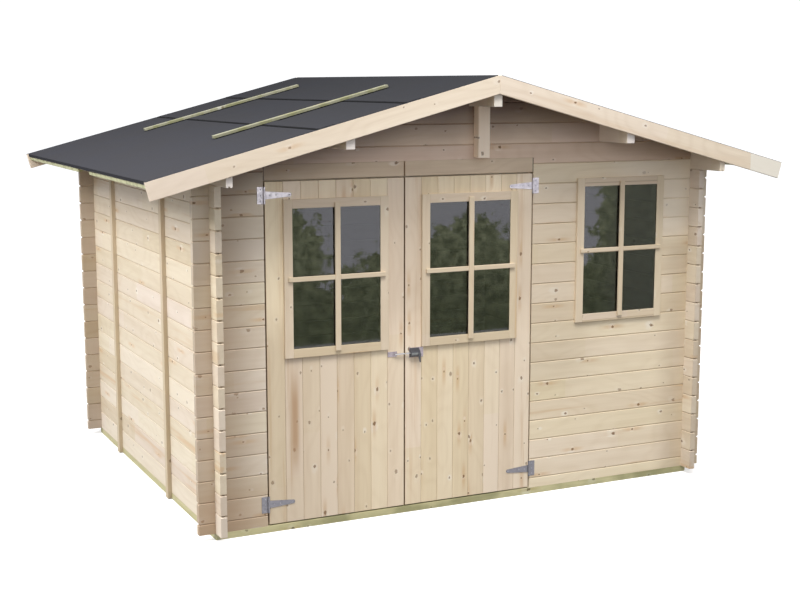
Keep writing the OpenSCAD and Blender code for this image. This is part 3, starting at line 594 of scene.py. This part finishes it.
ROOF_BOARDS, ROOF_BOARD_T, ROOF_BOARD_GAP = 30, 0.018, 0.0012
roof_low, roof_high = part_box("right_roof_boards")
roof_run = (roof_high.x - ROOF_BOARD_T * math.sin(SLOPE)) / math.cos(SLOPE)
board_w = (roof_high.y - roof_low.y) / ROOF_BOARDS
roof_frame = Matrix.Translation((0, 0, ridge_under)) @ Matrix.Rotation(SLOPE, 4, "Y")
SIDES = (("left", -1), ("right", 1))
BARGE = {**SPRUCE, "Pale": tint(234, 221, 205), "Deep": tint(197, 177, 153)}
BARGE_PATCH, BARGE_SHADE = tint(236, 233, 222), tint(204, 188, 168)
LATH = {**TREATED, "Pale": tint(154, 154, 136), "Deep": tint(116, 116, 92)}
EAVE = {**TREATED, "Pale": tint(190, 191, 158), "Deep": tint(150, 151, 112)}


def to_side(bm, hand):
    """Mirrors a mesh made for the right half of the roof where it belongs on the left."""
    if hand < 0:
        bmesh.ops.transform(bm, verts=bm.verts, matrix=Matrix.Diagonal((-1, 1, 1, 1)))


for side, hand in SIDES:
    bm = bmesh.new()
    for k in range(ROOF_BOARDS):
        y = roof_low.y + k * board_w
        plank(bm, (0, y + ROOF_BOARD_GAP / 2, 0), (roof_run, y + board_w - ROOF_BOARD_GAP / 2, ROOF_BOARD_T), 0.002,
              roof_frame)
    to_side(bm, hand)
    board_wood = wood(f"roof_board_{side}", ALONG_X_FLAT, board_w, roof_low.y, 32 + hand, slope=-hand * SLOPE)
    finish_piece(bm, f"{side}_roof_planks", [board_wood], "shed", "log_wood", f"{side}_roof_boards")
    lath_wood = wood(f"lath_wood_{side}", ALONG_X_FLAT, WHOLE, 5.0, 34 + hand, LATH, slope=-hand * SLOPE,
                     Length=UNJOINED)
    eased(f"{side}_felt_laths", [blotched(lath_wood, STAIN, 15.0, 0.75)], "treated_wood")
    strip_wood = wood(f"eave_strip_wood_{side}", ALONG_Y, WHOLE, 5.0, 36 + hand, EAVE, Length=UNJOINED)
    eased(f"{side}_eave_strips", [blotched(strip_wood, STAIN, 22.0, 0.5)], "treated_wood")
    barge_wood = wood(f"bargeboard_wood_{side}", ALONG_X, WHOLE, -9.0, 41 + hand, BARGE, slope=-hand * SLOPE,
                      Length=1.6)
    # The right bargeboard is paler at its lower end; painted shade darkens the left one toward its lower end
    if hand > 0:
        shaded(barge_wood, BARGE_PATCH, lambda t, x, y, z: ramp(t, x, 1.68, 1.684, 0.0, 0.7))
    else:
        shaded(barge_wood, BARGE_SHADE, lambda t, x, y, z: ramp(t, x, -0.2, -1.6, 0.0, 0.35))
    for end in ("front", "back"):
        eased(f"{end}_{side}_bargeboard", [barge_wood], "trim_wood", 0.0025)

# Felt of fine slate grit, under painted shade that darkens it toward the ridge
felt_paint, tree, shade = plain_material("roof_felt")
spot = here(tree)
grit = add(tree, "ShaderNodeTexVoronoi", {"Vector": spot, "Scale": 900.0})
grain_tone = split(tree, grit.outputs["Color"])[0]
mottle = noise(tree, spot, 3.0, 5.0)["Fac"]
stone = mix(tree, grain_tone, tint(51, 51, 54), tint(67, 67, 71))
stone = mix(tree, ramp(tree, mottle, 0.35, 0.7), stone, mix(tree, 0.5, stone, tint(59, 60, 66)))
bump = add(tree, "ShaderNodeBump", {"Height": grit.outputs["Distance"], "Strength": 0.4, "Distance": 0.0006})
tree.links.new(stone, shade.inputs["Base Color"])
tree.links.new(ramp(tree, grain_tone, 0, 1, 0.8, 0.95), shade.inputs["Roughness"])
tree.links.new(bump.outputs[0], shade.inputs["Normal"])
shade.inputs["Specular IOR Level"].default_value = 0.0
# Painted shade, deeper toward the ridge
shaded(felt_paint, tint(42, 43, 45), lambda t, x, y, z: ramp(t, z, 1.9, 2.4, 0.0, 0.55))
dress(felt_paint, "left_felt", "right_felt")

# Felt cut flush over the bargeboards, and a bead of bitumen at the foot of each lap
bitumen, tree, shade = plain_material("bitumen")
smear = noise(tree, here(tree), 90.0)["Fac"]
tree.links.new(mix(tree, smear, tint(12, 12, 13), tint(26, 26, 28)), shade.inputs["Base Color"])
tree.links.new(ramp(tree, smear, 0.3, 0.7, 0.8, 1.0), shade.inputs["Roughness"])
shade.inputs["Specular IOR Level"].default_value = 0.05
SEAMS, BEAD_W, BEAD_H = (0.548, 1.05), 0.016, 0.003
FELT_TOP, EDGE_T = 0.022, 0.0015
barge_front, barge_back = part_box("front_left_bargeboard")[0].y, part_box("back_left_bargeboard")[1].y
barge_t = roof_low.y - barge_front
barge_len = (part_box("front_right_bargeboard")[1].x - FELT_TOP * math.sin(SLOPE)) / math.cos(SLOPE)
ridge_start = (FELT_TOP + BEAD_H) * math.tan(SLOPE)
for side, hand in SIDES:
    beads, edges = bmesh.new(), bmesh.new()
    for seam in SEAMS:
        plank(beads, (seam, roof_low.y, FELT_TOP), (seam + BEAD_W, roof_high.y, FELT_TOP + BEAD_H), 0.0012, roof_frame)
    for y in (barge_front, barge_back - barge_t):
        plank(edges, (ridge_start, y, FELT_TOP), (barge_len, y + barge_t, FELT_TOP + EDGE_T), 0.0004, roof_frame)
    to_side(beads, hand)
    to_side(edges, hand)
    finish_piece(beads, f"{side}_felt_beads", [bitumen], "shed", "felt")
    finish_piece(edges, f"{side}_felt_edges", [felt_paint], "shed", "felt")

# Posts and battens.
# A planed post under the ridge purlin stiffens each gable.
# Two upright battens on each side wall keep its logs in line.
# The post's wood is a paler copy of the spruce, painted light; the jambs share it
POST_LIT = {**SPRUCE, "Pale": tint(255, 241, 218), "Deep": tint(247, 226, 196)}
post_wood = wood("post_wood", UPRIGHT, WHOLE, 3.0, 51, POST_LIT)
BATTEN = {**TREATED, "Pale": tint(214, 200, 175), "Deep": tint(180, 162, 134)}
batten_wood = wood("batten_wood", UPRIGHT, WHOLE, 7.0, 52, BATTEN)
for name in ("front_gable_post", "back_gable_post"):
    eased(name, [post_wood], "log_wood", 0.003)
for name in ("left_wall_battens", "right_wall_battens"):
    eased(name, [batten_wood], "treated_wood")

# Doorway.
# Two head boards lie flush with the wall over the doors, with a dark joint at each end, in a darker, warmer copy of
# the wood for their shade and under painted shadow of the roof.
# Jambs and a head rail behind the wall stop the leaves.
HEAD = {**SPRUCE, "Pale": tint(225, 207, 188), "Deep": tint(194, 170, 147)}
head_low, head_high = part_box("door_head_boards")
head_middle, half_head = (head_low.x + head_high.x) / 2, (head_high.x - head_low.x) / 2
end_joint = wood("head_board_ends", ALONG_X, WHOLE, 1.7, 53, HEAD)
shaded(end_joint, ROOF_SHADOW_TONE, roof_shadow_mask)
shaded(end_joint, tint(62, 49, 38), lambda t, x, y, z: ramp(
    t, apart(t, x, head_middle), half_head - 0.008, half_head - 0.003, 0.0, 0.9))
eased("door_head_boards", [end_joint], "joinery_wood", 0.0015)
for name in ("left_jamb", "right_jamb"):
    eased(name, [post_wood], "log_wood")
head_wood = wood("head_board_wood", ALONG_X, WHOLE, 1.7, 53)
eased("head_rail", [head_wood], "log_wood")

# Door leaves.
# Eight upright boards tongued together, with a V joint, held by ledges on the back.
# Painted shade darkens their lower parts toward the hinges and their upper parts toward the right, and the left one
# has a brown smear near its hinges.
LEAF_BOARDS = 8
DOOR = {**SPRUCE, "Pale": tint(246, 231, 207), "Deep": tint(217, 196, 167)}
DOORS_MEET = (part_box("left_door")[1].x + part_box("right_door")[0].x) / 2
HINGE_SHADE = {"left": 0.36, "right": 0.14}
SMEAR_TONE, SMEAR_X, SMEAR_Z = tint(172, 136, 100), -1.06, 0.59
for number, side in enumerate(("left", "right")):
    leaf_low, leaf_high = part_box(f"{side}_door")
    leaf_board = (leaf_high.x - leaf_low.x) / LEAF_BOARDS
    door_wood = wood(f"{side}_door_wood", UPRIGHT, leaf_board, leaf_low.x, 61 + number, DOOR, Length=3.0, Tone=0.45,
                     Knots=0.95, Seam=0.0006, Groove=0.0028)
    shaded(door_wood, SHADE_TONE, lambda t, x, y, z: times(
        t, ramp(t, apart(t, x, DOORS_MEET), -0.15, 0.78, 0.0, HINGE_SHADE[side]), ramp(t, z, 1.3, 0.95)))
    shaded(door_wood, SHADE_TONE, lambda t, x, y, z: times(
        t, ramp(t, x, -1.1, -0.2, 0.0, 0.34), ramp(t, z, 0.95, 1.25), ramp(t, z, 1.84, 1.64)))
    if side == "left":
        shaded(door_wood, SMEAR_TONE, lambda t, x, y, z: times(
            t, ramp(t, apart(t, x, SMEAR_X), 0.038, 0.004, 0.0, 0.8), ramp(t, apart(t, z, SMEAR_Z), 0.35, 0.08)))
    dress(door_wood, f"{side}_door")
    eased(f"{side}_door_ledges", [head_wood], "joinery_wood")

# Windows.
# A casing of four rebated boards with butted corners, a pane held from behind by beads, a lining
# through the wall, and a cross of two bars laid over the casing on the outside.
CASING = {**SPRUCE, "Pale": tint(222, 207, 183), "Deep": tint(199, 179, 149)}
upright_casing = wood("casing_upright", UPRIGHT, WHOLE, 9.0, 71, CASING, by_plank=True, Length=3.0)
level_casing = wood("casing_level", ALONG_X, WHOLE, 9.0, 72, CASING, by_plank=True, Length=3.0)
ON_UPRIGHT, ON_LEVEL = 0, 1
CASING_W, CASING_T, LINING_T, REBATE, PANE_IN = 0.048, 0.015, 0.0177, 0.0083, 0.008
BEAD_IN, BEAD_D, BEAD_GAP = 0.004, 0.016, 0.0004
BAR_UPRIGHT, BAR_LEVEL, BAR_T, BAR_LAP = 0.031, 0.026, 0.012, 0.026
CASING_EASE, LINING_EASE, BAR_EASE = 0.002, 0.0008, 0.003
WALL_T, DOOR_T = 0.034, 0.028
WALL_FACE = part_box("left_door")[0].y


def prism(bm, corners, along, ease, finish=0):
    """Solid with one outline all along, its edges rounded."""
    outline = bm.faces.new([bm.verts.new(c) for c in corners])
    grown = bmesh.ops.extrude_face_region(bm, geom=[outline], use_keep_orig=True)["geom"]
    far = [g for g in grown if isinstance(g, bmesh.types.BMVert)]
    bmesh.ops.translate(bm, verts=far, vec=along)
    ease_edges(bm, list({e for v in outline.verts[:] + far for e in v.link_edges}), ease, segments=3)
    mark_new(bm, finish)


for node, glass, thick in (("window_frame", "window_glass", WALL_T), ("left_door_window", "left_door_glass", DOOR_T),
                           ("right_door_window", "right_door_glass", DOOR_T)):
    pane_low, pane_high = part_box(glass)
    x0, x1 = pane_low.x + PANE_IN, pane_high.x - PANE_IN
    z0, z1 = pane_low.z + PANE_IN, pane_high.z - PANE_IN
    front, back = WALL_FACE - CASING_T, WALL_FACE + thick
    section = ((CASING_W, front), (0, front), (0, pane_low.y), (REBATE, pane_low.y),
               (REBATE, WALL_FACE), (CASING_W, WALL_FACE))
    bead_front, bead_back = pane_high.y + BEAD_GAP, pane_high.y + BEAD_D
    bm = bmesh.new()
    for edge, out in ((x0, -1), (x1, 1)):
        prism(bm, [(edge + out * w, y, z0 - CASING_W) for w, y in section], (0, 0, z1 - z0 + 2 * CASING_W),
              CASING_EASE, finish=ON_UPRIGHT)
        plank(bm, (edge + out * REBATE, WALL_FACE, z0 - LINING_T), (edge + out * LINING_T, back, z1 + LINING_T),
              LINING_EASE, finish=ON_UPRIGHT)
        plank(bm, (edge - out * BEAD_IN, bead_front, z0 - REBATE), (edge + out * REBATE, bead_back, z1 + REBATE),
              CASING_EASE, finish=ON_UPRIGHT)
    for edge, out in ((z0, -1), (z1, 1)):
        prism(bm, [(x0, y, edge + out * w) for w, y in section], (x1 - x0, 0, 0), CASING_EASE, finish=ON_LEVEL)
        plank(bm, (x0 - REBATE, WALL_FACE, edge + out * REBATE), (x1 + REBATE, back, edge + out * LINING_T),
              LINING_EASE, finish=ON_LEVEL)
        plank(bm, (x0 + BEAD_IN, bead_front, edge - out * BEAD_IN), (x1 - BEAD_IN, bead_back, edge + out * REBATE),
              CASING_EASE, finish=ON_LEVEL)
    middle, level = (x0 + x1) / 2, (z0 + z1) / 2
    plank(bm, (middle - BAR_UPRIGHT / 2, front - BAR_T, z0 - BAR_LAP),
          (middle + BAR_UPRIGHT / 2, front, z1 + BAR_LAP), BAR_EASE, finish=ON_UPRIGHT)
    for low, high in ((x0 - BAR_LAP, middle - BAR_UPRIGHT / 2), (middle + BAR_UPRIGHT / 2, x1 + BAR_LAP)):
        plank(bm, (low, front - BAR_T, level - BAR_LEVEL / 2), (high, front, level + BAR_LEVEL / 2),
              BAR_EASE, finish=ON_LEVEL)
    finish_piece(bm, node + "_joinery", [upright_casing, level_casing], body_of[node], "joinery_wood", node)

glass_paint, tree, shade = plain_material("window_glass")
shade.inputs["Base Color"].default_value = (0.17, 0.19, 0.16, 1)
shade.inputs["Transmission Weight"].default_value = 1.0
shade.inputs["IOR"].default_value = 1.5
ripple = noise(tree, here(tree), 4.0)["Fac"]
tree.links.new(ramp(tree, ripple, 0.3, 0.7, 0.0, 0.03), shade.inputs["Roughness"])
dress(glass_paint, "window_glass", "left_door_glass", "right_door_glass")

# Hinges and latch.
# Zinc-plated T hinges are screwed on the face of the doors and the wall, the lower ones under painted shade.
# A rim latch with a long bar joins the leaves: bar and plate on the left one, body and lever on the right.
zinc, tree, shade = plain_material("zinc_plate")
spot = here(tree)
bloom = noise(tree, spot, 60.0, 4.0)["Fac"]
spangle = split(tree, add(tree, "ShaderNodeTexVoronoi", {"Vector": spot, "Scale": 140.0}).outputs["Color"])[0]
plated = mix(tree, ramp(tree, bloom, 0.35, 0.7), tint(172, 167, 173), tint(153, 149, 156))
plated = mix(tree, times(tree, spangle, 0.08), plated, tint(128, 130, 142))
# Painted shade, deeper toward the floor
plated = mix(tree, ramp(tree, split(tree, spot)[2], 1.1, 0.5, 0.0, 0.8), plated, tint(94, 95, 103))
tree.links.new(plated, shade.inputs["Base Color"])
tree.links.new(ramp(tree, bloom, 0.3, 0.7, 0.35, 0.5), shade.inputs["Roughness"])
shade.inputs["Metallic"].default_value = 0.75
dress(zinc, "left_hinge_plates", "right_hinge_plates", "left_door_straps", "right_door_straps")


def metal(name, colour, roughness):
    """Metal of one colour with dull marks from handling."""
    made, tree, shade = plain_material(name)
    marks = noise(tree, here(tree), 240.0, 4.0)["Fac"]
    worn = mix(tree, 1.0, colour, (0.62, 0.62, 0.64, 1), "MULTIPLY")
    tree.links.new(mix(tree, ramp(tree, marks, 0.4, 0.75), colour, worn), shade.inputs["Base Color"])
    tree.links.new(ramp(tree, marks, 0.3, 0.7, roughness, roughness + 0.15), shade.inputs["Roughness"])
    shade.inputs["Metallic"].default_value = 0.8
    return made


screw_steel = metal("screw_steel", tint(150, 150, 158), 0.45)
latch_plate = metal("latch_plate", tint(156, 147, 153), 0.5)
latch_black = metal("latch_black", tint(76, 76, 80), 0.45)
latch_bright = metal("latch_bright", tint(178, 178, 182), 0.35)
latch_grey = metal("latch_grey", tint(112, 115, 114), 0.4)


def screw(bm, x, y, z, radius):
    """Round screw head with a sunk drive, on a face that looks to the front."""
    height = radius * 0.45
    made = bmesh.ops.create_cone(bm, cap_ends=True, segments=20, radius1=radius, radius2=radius * 0.72, depth=height,
                                 matrix=Matrix.Translation((x, y - height / 2, z)) @ FACE_FRONT)
    cap = min({f for v in made["verts"] for f in v.link_faces}, key=lambda f: f.calc_center_median().y)
    bmesh.ops.inset_region(bm, faces=[cap], thickness=radius * 0.3, depth=-height * 0.7)
    mark_new(bm, 0)


def rod(bm, start, end, radius, finish):
    """Round bar between two points, with its ends eased."""
    start, end = Vector(start), Vector(end)
    turned = (end - start).to_track_quat("Z", "Y").to_matrix().to_4x4()
    made = bmesh.ops.create_cone(bm, cap_ends=True, segments=24, radius1=radius, radius2=radius,
                                 depth=(end - start).length, matrix=Matrix.Translation((start + end) / 2) @ turned)
    rims = list({e for v in made["verts"] for e in v.link_edges if e.calc_face_angle(0) > 1.0})
    ease_edges(bm, rims, radius * 0.3, segments=3)
    mark_new(bm, finish)


STRAP_SCREWS, PLATE_SCREWS, SCREW_R = (0.03, 0.066, 0.138), (-0.03, 0.0, 0.03), 0.0038
KNUCKLE_R, PLATE_MID, HALF_PLATE, PLATE_T = 0.006, 0.019, 0.044, 0.003
PLATE_FACE = WALL_FACE - PLATE_T
for side, hand in SIDES:
    low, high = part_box(f"{side}_hinge_plates")
    axis_x = high.x - KNUCKLE_R if hand < 0 else low.x + KNUCKLE_R
    for node, spots in ((f"{side}_door_straps", [(s, 0) for s in STRAP_SCREWS]),
                        (f"{side}_hinge_plates", [(-PLATE_MID, s) for s in PLATE_SCREWS])):
        bm = bmesh.new()
        for level in (low.z + HALF_PLATE, high.z - HALF_PLATE):
            for x, z in spots:
                screw(bm, axis_x - hand * x, PLATE_FACE, level + z, SCREW_R)
        finish_piece(bm, node + "_screws", [screw_steel], body_of[node], "zinc")

# Latch on the left leaf: plate, block and bar
bar_low, bar_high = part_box("latch_bar")
LATCH_Z = (bar_low.z + bar_high.z) / 2
BAR_Y, BAR_R, BAR_HIDDEN = WALL_FACE - 0.013, 0.004, 0.036
BAR_PLATE_W, BLOCK_W, LATCH_EASE = 0.056, 0.014, 0.0008
plate_end = bar_low.x + BAR_PLATE_W
bm = bmesh.new()
plank(bm, (bar_low.x, PLATE_FACE, bar_low.z), (plate_end, WALL_FACE, bar_high.z), LATCH_EASE)
plank(bm, (plate_end - BLOCK_W, BAR_Y - BAR_R / 2, LATCH_Z - BAR_R), (plate_end, PLATE_FACE, LATCH_Z + BAR_R), 0.001)
rod(bm, (bar_low.x + BAR_HIDDEN, BAR_Y, LATCH_Z), (bar_high.x, BAR_Y, LATCH_Z), BAR_R, finish=1)
for x in (0.008, 0.032):
    for z in (-0.008, 0.008):
        screw(bm, bar_low.x + x, PLATE_FACE, LATCH_Z + z, 0.003)
finish_piece(bm, "latch_bar_fitting", [latch_plate, latch_bright], "left_leaf", "zinc", "latch_bar")

# Latch on the right leaf: plate, body, the bar's nose, cylinder and lever
catch_low, catch_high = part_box("latch_catch")
CATCH_W, CATCH_T, HALF_CATCH, CATCH_FLANGE = 0.06, 0.025, 0.027, 0.026
CYLINDER_R, CYLINDER_IN, CYLINDER_L, CYLINDER_DROP = 0.0085, 0.006, 0.038, 0.004
LEVER_TOP, LEVER_TIP, LEVER_T = 0.018, 0.0072, 0.004
catch_x = catch_high.x - CATCH_W - CATCH_FLANGE
front = WALL_FACE - CATCH_T
bm = bmesh.new()
plank(bm, (catch_x, PLATE_FACE, LATCH_Z - HALF_CATCH), (catch_high.x, WALL_FACE, LATCH_Z + HALF_CATCH), LATCH_EASE)
catch_side = ((PLATE_FACE, -HALF_CATCH), (front, -0.016), (front, 0.0054), (PLATE_FACE, HALF_CATCH))
prism(bm, [(catch_x, y, LATCH_Z + z) for y, z in catch_side], (CATCH_W, 0, 0), 0.004, finish=1)
nose = catch_x + CYLINDER_IN
rod(bm, (catch_low.x, BAR_Y, LATCH_Z), (nose, BAR_Y, LATCH_Z), BAR_R, finish=2)
cylinder_y, cylinder_z = front + CYLINDER_IN, LATCH_Z - CYLINDER_DROP
rod(bm, (nose, cylinder_y, cylinder_z), (nose + CYLINDER_L, cylinder_y, cylinder_z), CYLINDER_R, finish=3)
lever_x, lever_foot = catch_x + CATCH_W, catch_low.z
lever_side = ((lever_x - LEVER_TOP, LATCH_Z), (lever_x, LATCH_Z),
              (lever_x, lever_foot), (lever_x - LEVER_TIP, lever_foot))
prism(bm, [(x, front - LEVER_T / 2, z) for x, z in lever_side], (0, LEVER_T, 0), 0.001, finish=1)
for z in (-0.017, 0.017):
    screw(bm, catch_high.x - 0.012, PLATE_FACE, LATCH_Z + z, 0.0035)
catch_finishes = [latch_plate, latch_black, latch_bright, latch_grey]
finish_piece(bm, "latch_catch_fitting", catch_finishes, "right_leaf", "zinc", "latch_catch")
